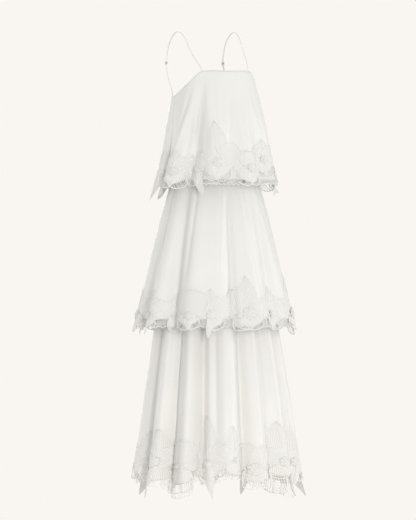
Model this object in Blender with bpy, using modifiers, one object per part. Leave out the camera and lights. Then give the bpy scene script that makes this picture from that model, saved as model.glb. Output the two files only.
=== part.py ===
"""Three-tiered maxi dress on two thin straps, with a cutwork lace hem on each tier.

Metres, +Z up. The origin is midway between the tops of the straps, where the wearer's
shoulders carry the dress. The wearer faces -Y, and +X is the wearer's left. An angle
round the dress is in degrees from the centre front, positive towards the wearer's left.
"""

from collections import namedtuple
from math import atan2, degrees

import bpy
import numpy as np
from mathutils import Matrix

# ---------------------------------------------------------------- driving sizes

WALL = 0.0012
SEAM_GAP = 0.0003
LACE_GAP = 0.0005  # across the stepped edge between the cloth and the lace
SIDE_GAP = 0.0007  # where folded front and back panels meet
COLUMNS = 45  # of each front or back panel
SHOULDER_HALF = 0.1065
WAIST_Z = -0.42
FOLD_GROWTH = 0.9  # under 1, a fold is deep soon below where it starts

STRAP_WIDTH = 0.005
STRAP_THICK = 0.001
STRAP_SPACING = 0.009  # between the ribbon's rows
SLIDER_BAR = 0.0012
SLIDER_SLOT = 0.0036
SLIDER_WIDTH = 0.0088
SLIDER_RAIL = 0.0012
SLIDER_THICK = 0.001

Ring = namedtuple("Ring", "z half_width front back centre_y")
Fold = namedtuple("Fold", "at lean half_width depth start")
Edge = namedtuple("Edge", "at z")
Motif = namedtuple("Motif", "at half_width apex tip")
Tier = namedtuple("Tier", "rings folds motifs top cut web")

OVERLAY_RINGS = (
    Ring(-0.123, 0.128, 0.081, 0.100, -0.049),
    Ring(-0.160, 0.137, 0.097, 0.104, -0.049),
    Ring(-0.204, 0.148, 0.113, 0.112, -0.049),
    Ring(-0.300, 0.167, 0.138, 0.118, -0.049),
    Ring(-0.400, 0.182, 0.155, 0.128, -0.049),
    Ring(-0.490, 0.202, 0.164, 0.148, -0.049),
    Ring(-0.545, 0.213, 0.171, 0.158, -0.049),
)
MID_RINGS = (
    Ring(WAIST_Z, 0.1317, 0.1067, 0.1067, -0.047),
    Ring(-0.567, 0.172, 0.138, 0.138, -0.047),
    Ring(-0.717, 0.208, 0.168, 0.168, -0.047),
    Ring(-0.829, 0.233, 0.190, 0.190, -0.047),
    Ring(-0.904, 0.250, 0.206, 0.206, -0.047),
    Ring(-0.960, 0.262, 0.216, 0.216, -0.047),
)
SKIRT_RINGS = (
    Ring(WAIST_Z, 0.130, 0.105, 0.105, -0.047),
    Ring(-0.600, 0.155, 0.125, 0.125, -0.049),
    Ring(-0.960, 0.203, 0.165, 0.165, -0.053),
    Ring(-1.147, 0.230, 0.189, 0.189, -0.056),
    Ring(-1.297, 0.250, 0.206, 0.206, -0.057),
    Ring(-1.353, 0.259, 0.213, 0.213, -0.057),
    Ring(-1.460, 0.274, 0.226, 0.226, -0.057),
)
BODICE_RINGS = (
    Ring(-0.123, 0.1262, 0.0792, 0.0982, -0.049),
    Ring(-0.160, 0.1345, 0.0925, 0.1020, -0.049),
    Ring(-0.204, 0.1460, 0.1030, 0.1098, -0.049),
    Ring(-0.260, 0.1440, 0.1080, 0.1060, -0.049),
    Ring(-0.340, 0.1370, 0.1110, 0.1040, -0.048),
    Ring(WAIST_Z, 0.130, 0.105, 0.105, -0.047),
)

# A fold's angle and depth are those at the hem. Lean is how far round it starts higher
# up, and start is the share of the tier's drop where it begins.
OVERLAY_FOLDS = (
    Fold(-104, 4, 8, 0.010, 0.1),
    Fold(-92, 6, 6, -0.014, 0.1),
    Fold(-78, 10, 9, 0.019, 0.0),
    Fold(-58, 15, 8, -0.032, 0.1),
    Fold(-34, 12, 11, 0.012, 0.0),
    Fold(-12, -6, 8, -0.006, 0.2),
    Fold(4, 2, 12, 0.008, 0.2),
    Fold(24, -4, 6, -0.012, 0.3),
    Fold(40, -4, 9, 0.014, 0.3),
    Fold(64, -6, 7, -0.016, 0.2),
    Fold(84, -6, 10, 0.016, 0.1),
    Fold(108, -6, 7, -0.020, 0.1),
    Fold(130, -4, 11, 0.017, 0.1),
    Fold(152, -4, 7, -0.019, 0.1),
    Fold(174, 2, 11, 0.016, 0.2),
    Fold(198, 4, 7, -0.020, 0.1),
    Fold(222, 4, 10, 0.014, 0.1),
    Fold(242, 2, 6, -0.012, 0.1),
)
MID_FOLDS = (
    Fold(-112, 2, 8, 0.014, 0.1),
    Fold(-98, 2, 6, -0.015, 0.1),
    Fold(-83, 3, 8, 0.020, 0.0),
    Fold(-66, 1, 8, -0.036, 0.0),
    Fold(-47, 2, 11, 0.018, 0.0),
    Fold(-28, 0, 9, 0.008, 0.1),
    Fold(-14, 1, 5, -0.030, 0.0),
    Fold(4, 2, 8, 0.015, 0.1),
    Fold(24, -2, 6, -0.014, 0.1),
    Fold(40, -3, 9, 0.014, 0.1),
    Fold(57, -4, 6, -0.016, 0.1),
    Fold(76, -5, 10, 0.018, 0.0),
    Fold(97, -4, 7, -0.024, 0.0),
    Fold(118, -4, 10, 0.018, 0.1),
    Fold(139, -3, 7, -0.024, 0.0),
    Fold(160, -2, 10, 0.018, 0.0),
    Fold(183, 2, 7, -0.026, 0.0),
    Fold(206, 3, 11, 0.019, 0.1),
    Fold(230, 3, 7, -0.020, 0.0),
)
SKIRT_FOLDS = (
    Fold(-111, 2, 7, 0.015, 0.1),
    Fold(-96, 2, 6, -0.020, 0.0),
    Fold(-79, -1, 8, 0.022, 0.0),
    Fold(-67, 0, 5, -0.036, 0.0),
    Fold(-53, 0, 7, 0.026, 0.0),
    Fold(-41, 0, 5, -0.040, 0.0),
    Fold(-33, 1, 5, -0.010, 0.1),
    Fold(-22, 2, 7, 0.020, 0.0),
    Fold(-8, 3, 5, -0.034, 0.0),
    Fold(4, 3, 6, 0.018, 0.1),
    Fold(15, 4, 5, -0.024, 0.1),
    Fold(27, 2, 7, 0.020, 0.0),
    Fold(44, -2, 6, -0.030, 0.0),
    Fold(63, -3, 9, 0.019, 0.1),
    Fold(83, -3, 6, -0.026, 0.0),
    Fold(101, -2, 9, 0.021, 0.0),
    Fold(119, -2, 6, -0.026, 0.1),
    Fold(137, -2, 9, 0.023, 0.0),
    Fold(156, -1, 6, -0.028, 0.0),
    Fold(175, 1, 9, 0.021, 0.0),
    Fold(193, 2, 6, -0.024, 0.1),
    Fold(211, 2, 9, 0.023, 0.0),
    Fold(231, 2, 6, -0.024, 0.0),
)

# A motif is an orchid: its apex is where the lace starts above it, and its tip is how low
# the lace hangs there.
OVERLAY_MOTIFS = (
    Motif(-122, 10, -0.375, -0.520),
    Motif(-98, 10, -0.372, -0.530),
    Motif(-74, 11, -0.370, -0.490),
    Motif(-50, 9, -0.390, -0.508),
    Motif(-29, 12, -0.285, -0.480),
    Motif(6, 12, -0.374, -0.482),
    Motif(29, 10, -0.333, -0.480),
    Motif(53, 10, -0.350, -0.493),
    Motif(77, 10, -0.352, -0.510),
    Motif(101, 10, -0.364, -0.526),
    Motif(126, 10, -0.338, -0.517),
    Motif(152, 10, -0.368, -0.524),
    Motif(178, 10, -0.334, -0.515),
    Motif(205, 10, -0.366, -0.523),
)
MID_MOTIFS = (
    Motif(-113, 10, -0.800, -0.932),
    Motif(-88, 11, -0.803, -0.940),
    Motif(-67, 9, -0.812, -0.932),
    Motif(-50, 11, -0.803, -0.926),
    Motif(-33, 9, -0.800, -0.952),
    Motif(-5, 13, -0.765, -0.930),
    Motif(22, 11, -0.793, -0.925),
    Motif(47, 11, -0.801, -0.943),
    Motif(72, 12, -0.765, -0.928),
    Motif(97, 12, -0.804, -0.946),
    Motif(122, 11, -0.766, -0.935),
    Motif(147, 11, -0.799, -0.946),
    Motif(172, 12, -0.765, -0.930),
    Motif(197, 12, -0.804, -0.938),
    Motif(222, 11, -0.785, -0.943),
)
SKIRT_MOTIFS = (
    Motif(-120, 10, -1.243, -1.405),
    Motif(-100, 9, -1.239, -1.395),
    Motif(-79, 10, -1.232, -1.449),
    Motif(-58, 11, -1.270, -1.447),
    Motif(-36, 9, -1.195, -1.452),
    Motif(-17, 8, -1.225, -1.390),
    Motif(-1, 10, -1.282, -1.420),
    Motif(27, 13, -1.212, -1.449),
    Motif(52, 10, -1.229, -1.411),
    Motif(77, 10, -1.210, -1.450),
    Motif(102, 11, -1.265, -1.443),
    Motif(127, 10, -1.200, -1.450),
    Motif(152, 10, -1.237, -1.416),
    Motif(177, 10, -1.213, -1.445),
    Motif(202, 10, -1.233, -1.446),
    Motif(224, 10, -1.218, -1.405),
)

# The upper edge, from the straight front neckline round the armhole to the back.
UPPER_EDGE = (
    Edge(0, -0.1235),
    Edge(38, -0.1235),
    Edge(46, -0.1250),
    Edge(53, -0.1345),
    Edge(60, -0.1460),
    Edge(75, -0.1730),
    Edge(90, -0.1960),
    Edge(115, -0.2050),
    Edge(180, -0.2060),
)

# The left strap's route, mirrored for the right one: from above the front neckline, over
# the shoulder and down the back. The side is how far it lies from the centre, and turn is
# the ribbon's own heading across, in degrees from +X.
Stop = namedtuple("Stop", "side y z turn")
STRAP_ROUTE = (
    Stop(0.0965, -0.080, -0.088, 22),
    Stop(0.1005, -0.055, -0.055, 12),
    Stop(0.1050, -0.023, -0.010, 4),
    Stop(SHOULDER_HALF, 0.000, 0.000, 0),
    Stop(0.1067, 0.029, -0.014, -3),
    Stop(0.1070, 0.050, -0.043, -8),
    Stop(0.1073, 0.060, -0.076, -12),
    Stop(0.1078, 0.062, -0.097, -16),
    Stop(0.1110, 0.047, -0.143, -28),
)
BODICE_SHARES = (0, 0.07, 0.2, 0.4, 0.7, 1)
SLIDER_STOP = 7
STRAP_FRONT_ANGLE = 45
STRAP_BACK_ANGLE = 128
STRAP_LAP = 0.012
LAP_GAP = 0.0007  # the seam gap, and room for the bodice's flat facets

# ---------------------------------------------------------------- the cloth's form


def smooth_between(xs, values, x):
    """A smooth curve through values at xs, read at x, running on straight past both ends."""
    xs = np.asarray(xs, float)
    values = np.asarray(values, float)
    slopes = np.gradient(values, xs)
    i = np.clip(np.searchsorted(xs, x) - 1, 0, len(xs) - 2)
    span = xs[i + 1] - xs[i]
    t = (x - xs[i]) / span
    u = np.clip(t, 0, 1)
    start = values[i] * (2 * u**3 - 3 * u**2 + 1) + values[i + 1] * (3 * u**2 - 2 * u**3)
    turn = slopes[i] * (u**3 - 2 * u**2 + u) + slopes[i + 1] * (u**3 - u**2)
    run_on = (t - u) * np.where(t < 0, slopes[i], slopes[i + 1])
    return start + (turn + run_on) * span


def ring_value(tier, column, z):
    drops = [-ring.z for ring in tier.rings]
    return smooth_between(drops, [getattr(ring, column) for ring in tier.rings], -z)


def turn_from(angle, middle):
    """The angle from middle, the short way round."""
    return (angle - middle + 180) % 360 - 180


def fold_out(tier, angle, z):
    """How far the folds push the cloth out from its ring."""
    top = tier.top(angle)
    share = (top - z) / (top - tier.web)
    out = 0
    for fold in tier.folds:
        grown = np.clip((share - fold.start) / (1 - fold.start), 0, 1.3) ** FOLD_GROWTH
        middle = fold.at + fold.lean * (1 - share)
        across = turn_from(angle, middle) / fold.half_width
        out = out + fold.depth * grown * np.exp(-(across**2))
    return out


def cloth_point(tier, angle, z, lift=0.0):
    """Points of the tier's surface at angles and heights, moved out by lift."""
    angle = np.asarray(angle, float)
    z = np.asarray(z, float)
    turn = np.radians(angle)
    wide = ring_value(tier, "half_width", z)
    depth = np.where(
        np.cos(turn) > 0, ring_value(tier, "front", z), ring_value(tier, "back", z)
    )
    out_x = np.sin(turn) / wide
    out_y = -np.cos(turn) / depth
    length = np.hypot(out_x, out_y)
    out = fold_out(tier, angle, z) + lift
    x = wide * np.sin(turn) + out * out_x / length
    y = ring_value(tier, "centre_y", z) - depth * np.cos(turn) + out * out_y / length
    return np.stack([x, y, z + 0 * x], axis=-1)


def upper_edge(angle):
    sides = [edge.at for edge in UPPER_EDGE]
    return smooth_between(sides, [edge.z for edge in UPPER_EDGE], np.abs(turn_from(angle, 0)))


def waist(angle):
    return np.full(np.shape(angle), WAIST_Z)


OVERLAY = Tier(OVERLAY_RINGS, OVERLAY_FOLDS, OVERLAY_MOTIFS, upper_edge, -0.435, -0.478)
MID = Tier(MID_RINGS, MID_FOLDS, MID_MOTIFS, waist, -0.838, -0.918)
SKIRT = Tier(SKIRT_RINGS, SKIRT_FOLDS, SKIRT_MOTIFS, waist, -1.300, -1.385)
BODICE = Tier(BODICE_RINGS, (), (), upper_edge, WAIST_Z, WAIST_Z)


def petal(across):
    """A petal's outline: 1 at its middle, falling to 0 at its sides."""
    return np.clip(1 - np.abs(across) ** 1.6, 0, 1)


def cut_edge(tier, angle):
    """The cloth's lower edge, which rises over each petal of the lace."""
    z = np.full(np.shape(angle), tier.cut)
    for motif in tier.motifs:
        across = turn_from(angle, motif.at) / motif.half_width
        z = np.maximum(z, tier.cut + (motif.apex - tier.cut) * petal(across))
    return z


def lace_hem(tier, angle):
    """The lace's lower edge, which drops to each petal's tip."""
    z = np.full(np.shape(angle), tier.web)
    for motif in tier.motifs:
        across = turn_from(angle, motif.at) / motif.half_width
        z = np.minimum(z, tier.web + (motif.tip - tier.web) * petal(across))
    return z


def seam_at(tier, edge, side, shift):
    """An edge's heights moved up or down the cloth, so that 0.3 mm stays between pieces."""

    def moved(angle):
        step = 0.5
        z = edge(angle)
        rise = edge(angle + step) - edge(angle - step)
        ends = cloth_point(tier, angle + step, z) - cloth_point(tier, angle - step, z)
        slope = rise / np.linalg.norm(ends, axis=-1)
        return z + side * shift * np.sqrt(1 + slope**2)

    return moved


# ---------------------------------------------------------------- making objects


def clear_scene():
    for obj in list(bpy.data.objects):
        bpy.data.objects.remove(obj)


def material(name, color, roughness, metallic=0.0):
    made = bpy.data.materials.new(name)
    made.use_nodes = True
    shader = made.node_tree.nodes["Principled BSDF"]
    shader.inputs["Base Color"].default_value = (*color, 1)
    shader.inputs["Roughness"].default_value = roughness
    shader.inputs["Metallic"].default_value = metallic
    return made


def new_object(name, points, faces, finish):
    mesh = bpy.data.meshes.new(name)
    mesh.from_pydata([tuple(point) for point in points], [], faces)
    mesh.materials.append(finish)
    mesh.shade_smooth()
    obj = bpy.data.objects.new(name, mesh)
    dress.objects.link(obj)
    return obj


def grid_faces(rows, columns):
    """Quads over a grid of points stored row by row."""
    faces = []
    for row in range(rows - 1):
        for column in range(columns - 1):
            corner = row * columns + column
            faces.append((corner, corner + columns, corner + columns + 1, corner + 1))
    return faces


def panel(name, tier, middle, top, bottom, shares, finish, columns=COLUMNS):
    """A half-round wall of cloth, 180 degrees about middle, between two edges.

    The shares are where its rows of points lie, from 0 at the top to 1 at the bottom.
    """
    inset = np.degrees(SIDE_GAP / 2 / tier.rings[0].back)
    angles = np.linspace(middle - 90, middle + 90, columns + 1)
    angles[0] += inset
    angles[-1] -= inset
    heights = top(angles) + (bottom(angles) - top(angles)) * np.array(shares)[:, None]
    points = cloth_point(tier, angles + 0 * heights, heights)
    obj = new_object(name, points.reshape(-1, 3), grid_faces(*heights.shape), finish)
    wall = obj.modifiers.new("wall", "SOLIDIFY")
    wall.thickness = WALL
    wall.offset = 0
    return obj


def tier_panels(name, tier, shares, cloth, lace):
    """A tier's front and back, each with the lace wall that hangs from its cut edge."""

    def cut(angle):
        return cut_edge(tier, angle)

    def hem(angle):
        return lace_hem(tier, angle)

    cloth_end = seam_at(tier, cut, 1, LACE_GAP / 2)
    lace_start = seam_at(tier, cut, -1, LACE_GAP / 2)
    for side, middle in (("front", 0), ("back", 180)):
        panel(f"{name}_{side}", tier, middle, tier.top, cloth_end, shares, cloth)
        panel(f"{name}_lace_{side}", tier, middle, lace_start, hem, (0, 0.5, 1), lace)


def above_waist(angle):
    return np.full(np.shape(angle), WAIST_Z + SEAM_GAP + WALL / 2)


def bodice(cloth):
    for side, middle in (("front", 0), ("back", 180)):
        panel(
            f"bodice_{side}", BODICE, middle, upper_edge, above_waist, BODICE_SHARES, cloth, 24
        )


# ---------------------------------------------------------------- straps and sliders


def unit(vector):
    return vector / np.linalg.norm(vector, axis=-1, keepdims=True)


def lap_points(angle):
    """Where a strap lies inside the bodice: two points, the lower one first."""
    z = float(upper_edge(np.array(angle)))
    inside = -(WALL / 2 + LAP_GAP + STRAP_THICK / 2)
    return [
        cloth_point(BODICE, angle, z - STRAP_LAP, inside),
        cloth_point(BODICE, angle, z + STRAP_THICK, inside),
    ]


def cloth_heading(angle):
    """Which way the bodice's edge runs at an angle, in degrees from +X."""
    z = float(upper_edge(np.array(angle)))
    step = cloth_point(BODICE, angle + 1, z) - cloth_point(BODICE, angle - 1, z)
    heading = degrees(atan2(step[1], step[0]))
    return (heading + 90) % 180 - 90


def strap_stops():
    """The whole route's points, the ribbon's heading at each, and their distances along."""
    front = lap_points(STRAP_FRONT_ANGLE)
    back = lap_points(STRAP_BACK_ANGLE)[::-1]
    free = [np.array([stop.side, stop.y, stop.z]) for stop in STRAP_ROUTE]
    points = np.array(front + free + back)
    front_turns = [cloth_heading(STRAP_FRONT_ANGLE)] * 2
    back_turns = [cloth_heading(STRAP_BACK_ANGLE)] * 2
    turns = front_turns + [stop.turn for stop in STRAP_ROUTE] + back_turns
    steps = np.linalg.norm(np.diff(points, axis=0), axis=1)
    return points, np.array(turns), np.concatenate([[0], np.cumsum(steps)])


def strap_frames(along):
    """The strap's centre points at these distances, with their across and outward directions."""
    points, turns, distances = strap_stops()

    def line(at):
        return np.stack([smooth_between(distances, points[:, k], at) for k in range(3)], -1)

    tangent = unit(line(along + 0.001) - line(along - 0.001))
    turn = np.radians(np.interp(along, distances, turns))
    across = np.stack([np.cos(turn), np.sin(turn), 0 * turn], -1)
    outward = unit(np.cross(across, tangent))
    return line(along), unit(np.cross(tangent, outward)), outward


def strap_rows():
    """The strap's centre points and across directions, woven through its slider."""
    distances = strap_stops()[2]
    slider_at = distances[2 + SLIDER_STOP]
    pitch = SLIDER_BAR + SLIDER_SLOT
    weave_out = SLIDER_THICK / 2 + SEAM_GAP + STRAP_THICK / 2
    flat = SLIDER_BAR * 0.85
    weave = (
        (-2 * pitch, 0),
        (-pitch - flat, -weave_out),
        (-pitch + flat, -weave_out),
        (-flat, weave_out),
        (flat, weave_out),
        (pitch - flat, -weave_out),
        (pitch + flat, -weave_out),
        (2 * pitch, 0),
    )
    steps = np.array([row[0] for row in weave])
    depths = np.array([row[1] for row in weave])
    plain = np.arange(0, distances[-1] - STRAP_SPACING / 2, STRAP_SPACING)
    plain = plain[np.abs(plain - slider_at) > 2.5 * pitch]
    along = np.sort(np.concatenate([plain, slider_at + steps, distances[-1:]]))
    centre, across, outward = strap_frames(along)
    return centre + outward * np.interp(along - slider_at, steps, depths)[:, None], across


def strap(name, side, finish):
    """A flat ribbon threaded through its slider, lapped inside the bodice at both ends."""
    centre, across = strap_rows()
    rows = np.stack([centre - across * STRAP_WIDTH / 2, centre + across * STRAP_WIDTH / 2], 1)
    rows[..., 0] *= side
    obj = new_object(name, rows.reshape(-1, 3), grid_faces(len(centre), 2), finish)
    wall = obj.modifiers.new("thickness", "SOLIDIFY")
    wall.thickness = STRAP_THICK
    wall.offset = 0
    wall.use_even_offset = True
    return obj


def slider_outline(middle_x, middle_y, width, height):
    half_x = width / 2
    half_y = height / 2
    return [
        (middle_x - half_x, middle_y - half_y, 0),
        (middle_x + half_x, middle_y - half_y, 0),
        (middle_x + half_x, middle_y + half_y, 0),
        (middle_x - half_x, middle_y + half_y, 0),
    ]


def slider(name, side, finish):
    """A flat plate with two slots, which the strap passes through round its middle bar."""
    height = 3 * SLIDER_BAR + 2 * SLIDER_SLOT
    curve = bpy.data.curves.new(name, "CURVE")
    curve.dimensions = "2D"
    curve.fill_mode = "BOTH"
    curve.extrude = SLIDER_THICK / 2
    slot_width = SLIDER_WIDTH - 2 * SLIDER_RAIL
    slot_at = (SLIDER_BAR + SLIDER_SLOT) / 2
    outlines = (
        slider_outline(0, 0, SLIDER_WIDTH, height),
        slider_outline(0, slot_at, slot_width, SLIDER_SLOT),
        slider_outline(0, -slot_at, slot_width, SLIDER_SLOT),
    )
    for outline in outlines:
        spline = curve.splines.new("POLY")
        spline.points.add(len(outline) - 1)
        for point, place in zip(spline.points, outline):
            point.co = (*place, 1)
        spline.use_cyclic_u = True
    curve.materials.append(finish)
    middle = strap_stops()[2][2 + SLIDER_STOP]
    mirror = np.array([side, 1, 1])
    centre, across, outward = (row * mirror for row in strap_frames(np.array(middle)))
    axes = Matrix(np.stack([across, np.cross(outward, across), outward], -1).tolist())
    obj = bpy.data.objects.new(name, curve)
    obj.matrix_world = Matrix.Translation(centre.tolist()) @ axes.to_4x4()
    dress.objects.link(obj)
    return obj


# ---------------------------------------------------------------- the dress

clear_scene()
dress = bpy.data.collections.new("maxi_dress")
bpy.context.scene.collection.children.link(dress)

crepe = material("ivory_crepe", (0.90, 0.89, 0.86), 0.55)
lace_thread = material("ivory_lace", (0.86, 0.85, 0.82), 0.65)
strap_satin = material("strap_satin", (0.88, 0.87, 0.84), 0.45)
dark_metal = material("dark_metal", (0.10, 0.09, 0.08), 0.35, 1.0)

tier_panels("overlay", OVERLAY, (0, 0.08, 0.25, 0.45, 0.7, 1), crepe, lace_thread)
tier_panels("mid_tier", MID, (0, 0.2, 0.4, 0.6, 0.8, 1), crepe, lace_thread)
tier_panels("skirt", SKIRT, (0, 0.2, 0.4, 0.55, 0.7, 0.85, 1), crepe, lace_thread)
bodice(crepe)
for side_name, side_sign in (("right", -1), ("left", 1)):
    strap(f"strap_{side_name}", side_sign, strap_satin)
    slider(f"slider_{side_name}", side_sign, dark_metal)
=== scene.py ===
"""Looks of a three-tiered maxi dress: crepe tiers, cutwork orchid lace, straps and sliders.

Metres, +Z up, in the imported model's own frame. An angle round the dress is in degrees from
the centre front, positive towards the wearer's left. Lengths on the lace are laid out flat,
across and up, and then mapped onto the tier that carries it.
"""

from collections import namedtuple
from functools import partial
from math import atan2, cos, degrees, pi, radians, sin

import bpy
import numpy as np
from mathutils import Matrix, Vector


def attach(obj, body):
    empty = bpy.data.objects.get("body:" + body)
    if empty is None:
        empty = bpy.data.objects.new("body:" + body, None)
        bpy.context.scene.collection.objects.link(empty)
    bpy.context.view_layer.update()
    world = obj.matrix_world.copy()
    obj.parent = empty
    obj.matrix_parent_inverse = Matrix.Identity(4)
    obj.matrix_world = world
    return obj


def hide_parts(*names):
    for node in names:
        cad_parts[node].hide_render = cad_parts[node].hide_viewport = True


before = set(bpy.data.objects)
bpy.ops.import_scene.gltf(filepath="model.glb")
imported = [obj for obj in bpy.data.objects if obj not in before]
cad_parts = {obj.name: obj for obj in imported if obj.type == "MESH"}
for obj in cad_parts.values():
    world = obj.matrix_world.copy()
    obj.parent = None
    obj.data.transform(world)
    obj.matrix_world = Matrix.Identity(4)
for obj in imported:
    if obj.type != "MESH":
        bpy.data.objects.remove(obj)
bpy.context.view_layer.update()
scene = bpy.context.scene

# ---- the dress's sizes

WALL = 0.0012
CLOTH_THICK = 0.0007
WAIST_Z = -0.42
FOLD_SKEW = 0.35  # how much steeper each ridge is on its right
FOLD_GROWTH = 0.9  # under 1, a fold is deep soon below where it starts
# How many times each ripple repeats round the dress, and its depth.
RIPPLES = ((11, 0.0018), (17, 0.0015), (23, 0.0012), (31, 0.0008), (43, 0.0005))
SHOULDER_HALF = 0.1065
STRAP_WIDTH = 0.005
STRAP_THICK = 0.001
SLIDER_BAR = 0.0012
SLIDER_SLOT = 0.0036
SLIDER_WIDTH = 0.0088
SLIDER_THICK = 0.001
SLIDER_CORNER = 0.0009
SLIDER_PLAY = 0.0003
STRAP_STEP = 0.0025
STRAP_LAP = 0.012
LAP_GAP = 0.0007

Ring = namedtuple("Ring", "z half_width front back centre_y")
Fold = namedtuple("Fold", "at lean half_width depth start", defaults=(0.0,))
Edge = namedtuple("Edge", "at z")
Petal = namedtuple("Petal", "kind toward length width ladder")
Flower = namedtuple("Flower", "at z lip petals")
LipTier = namedtuple("LipTier", "share lobes high")
Tier = namedtuple("Tier", "name rings folds creases flowers top cut ground web seed")
Crease = namedtuple("Crease", "top bottom top_at at half_width depth")
Stop = namedtuple("Stop", "side y z turn")
Cut = namedtuple("Cut", "width length area")

OVERLAY_RINGS = (
    Ring(-0.123, 0.128, 0.081, 0.100, -0.049),
    Ring(-0.160, 0.137, 0.097, 0.104, -0.049),
    Ring(-0.204, 0.148, 0.113, 0.112, -0.049),
    Ring(-0.300, 0.167, 0.138, 0.118, -0.049),
    Ring(-0.400, 0.182, 0.155, 0.128, -0.049),
    Ring(-0.490, 0.202, 0.164, 0.148, -0.049),
    Ring(-0.545, 0.213, 0.171, 0.158, -0.049),
)
MID_RINGS = (
    Ring(WAIST_Z, 0.1317, 0.1067, 0.1067, -0.047),
    Ring(-0.567, 0.172, 0.138, 0.138, -0.047),
    Ring(-0.717, 0.208, 0.168, 0.168, -0.047),
    Ring(-0.829, 0.233, 0.190, 0.190, -0.047),
    Ring(-0.904, 0.250, 0.206, 0.206, -0.047),
    Ring(-0.960, 0.262, 0.216, 0.216, -0.047),
)
SKIRT_RINGS = (
    Ring(WAIST_Z, 0.130, 0.105, 0.105, -0.047),
    Ring(-0.600, 0.155, 0.125, 0.125, -0.049),
    Ring(-0.960, 0.203, 0.165, 0.165, -0.053),
    Ring(-1.147, 0.230, 0.189, 0.189, -0.056),
    Ring(-1.297, 0.250, 0.206, 0.206, -0.057),
    Ring(-1.353, 0.259, 0.213, 0.213, -0.057),
    Ring(-1.460, 0.274, 0.226, 0.226, -0.057),
)
BODICE_RINGS = (
    Ring(-0.123, 0.1262, 0.0792, 0.0982, -0.049),
    Ring(-0.160, 0.1345, 0.0925, 0.1020, -0.049),
    Ring(-0.204, 0.1460, 0.1030, 0.1098, -0.049),
    Ring(-0.260, 0.1440, 0.1080, 0.1060, -0.049),
    Ring(-0.340, 0.1370, 0.1110, 0.1040, -0.048),
    Ring(WAIST_Z, 0.130, 0.105, 0.105, -0.047),
)

# A fold's angle and depth are those at the hem. Lean is how far round it starts higher
# up, and start is the share of the tier's drop where it begins, at the top if not given.
OVERLAY_FOLDS = (
    Fold(-104, 4, 8, 0.010, 0.1),
    Fold(-92, 6, 6, -0.014, 0.1),
    Fold(-78, 10, 9, 0.019),
    Fold(-58, 15, 8, -0.032, 0.1),
    Fold(-34, 12, 11, 0.012),
    Fold(-12, -6, 8, -0.006, 0.2),
    Fold(4, 2, 12, 0.008, 0.2),
    Fold(24, -4, 6, -0.012, 0.3),
    Fold(40, -4, 9, 0.014, 0.3),
    Fold(64, -6, 7, -0.016, 0.2),
    Fold(84, -6, 10, 0.016, 0.1),
    Fold(108, -6, 7, -0.020, 0.1),
    Fold(130, -4, 11, 0.017, 0.1),
    Fold(152, -4, 7, -0.019, 0.1),
    Fold(174, 2, 11, 0.016, 0.2),
    Fold(198, 4, 7, -0.020, 0.1),
    Fold(222, 4, 10, 0.014, 0.1),
    Fold(242, 2, 6, -0.012, 0.1),
)
MID_FOLDS = (
    Fold(-112, 2, 8, 0.014, 0.1),
    Fold(-98, 2, 6, -0.015, 0.1),
    Fold(-83, 3, 8, 0.020),
    Fold(-66, 1, 8, -0.036),
    Fold(-47, 2, 11, 0.018),
    Fold(-28, 0, 9, 0.008, 0.1),
    Fold(-14, 1, 5, -0.030),
    Fold(4, 2, 8, 0.015, 0.1),
    Fold(24, -2, 6, -0.014, 0.1),
    Fold(40, -3, 9, 0.014, 0.1),
    Fold(57, -4, 6, -0.016, 0.1),
    Fold(76, -5, 10, 0.018),
    Fold(97, -4, 7, -0.024),
    Fold(118, -4, 10, 0.018, 0.1),
    Fold(139, -3, 7, -0.024),
    Fold(160, -2, 10, 0.018),
    Fold(183, 2, 7, -0.026),
    Fold(206, 3, 11, 0.019, 0.1),
    Fold(230, 3, 7, -0.020),
)
SKIRT_FOLDS = (
    Fold(-111, 2, 7, 0.015, 0.1),
    Fold(-96, 2, 6, -0.020),
    Fold(-79, -1, 8, 0.022),
    Fold(-67, 0, 5, -0.036),
    Fold(-53, 0, 7, 0.026),
    Fold(-41, 0, 5, -0.040),
    Fold(-33, 1, 5, -0.010, 0.1),
    Fold(-22, 2, 7, 0.020),
    Fold(-8, 3, 5, -0.034),
    Fold(4, 3, 6, 0.018, 0.1),
    Fold(15, 4, 5, -0.024, 0.1),
    Fold(27, 2, 7, 0.020),
    Fold(44, -2, 6, -0.030),
    Fold(63, -3, 9, 0.019, 0.1),
    Fold(83, -3, 6, -0.026),
    Fold(101, -2, 9, 0.021),
    Fold(119, -2, 6, -0.026, 0.1),
    Fold(137, -2, 9, 0.023),
    Fold(156, -1, 6, -0.028),
    Fold(175, 1, 9, 0.021),
    Fold(193, 2, 6, -0.024, 0.1),
    Fold(211, 2, 9, 0.023),
    Fold(231, 2, 6, -0.024),
)

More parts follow.
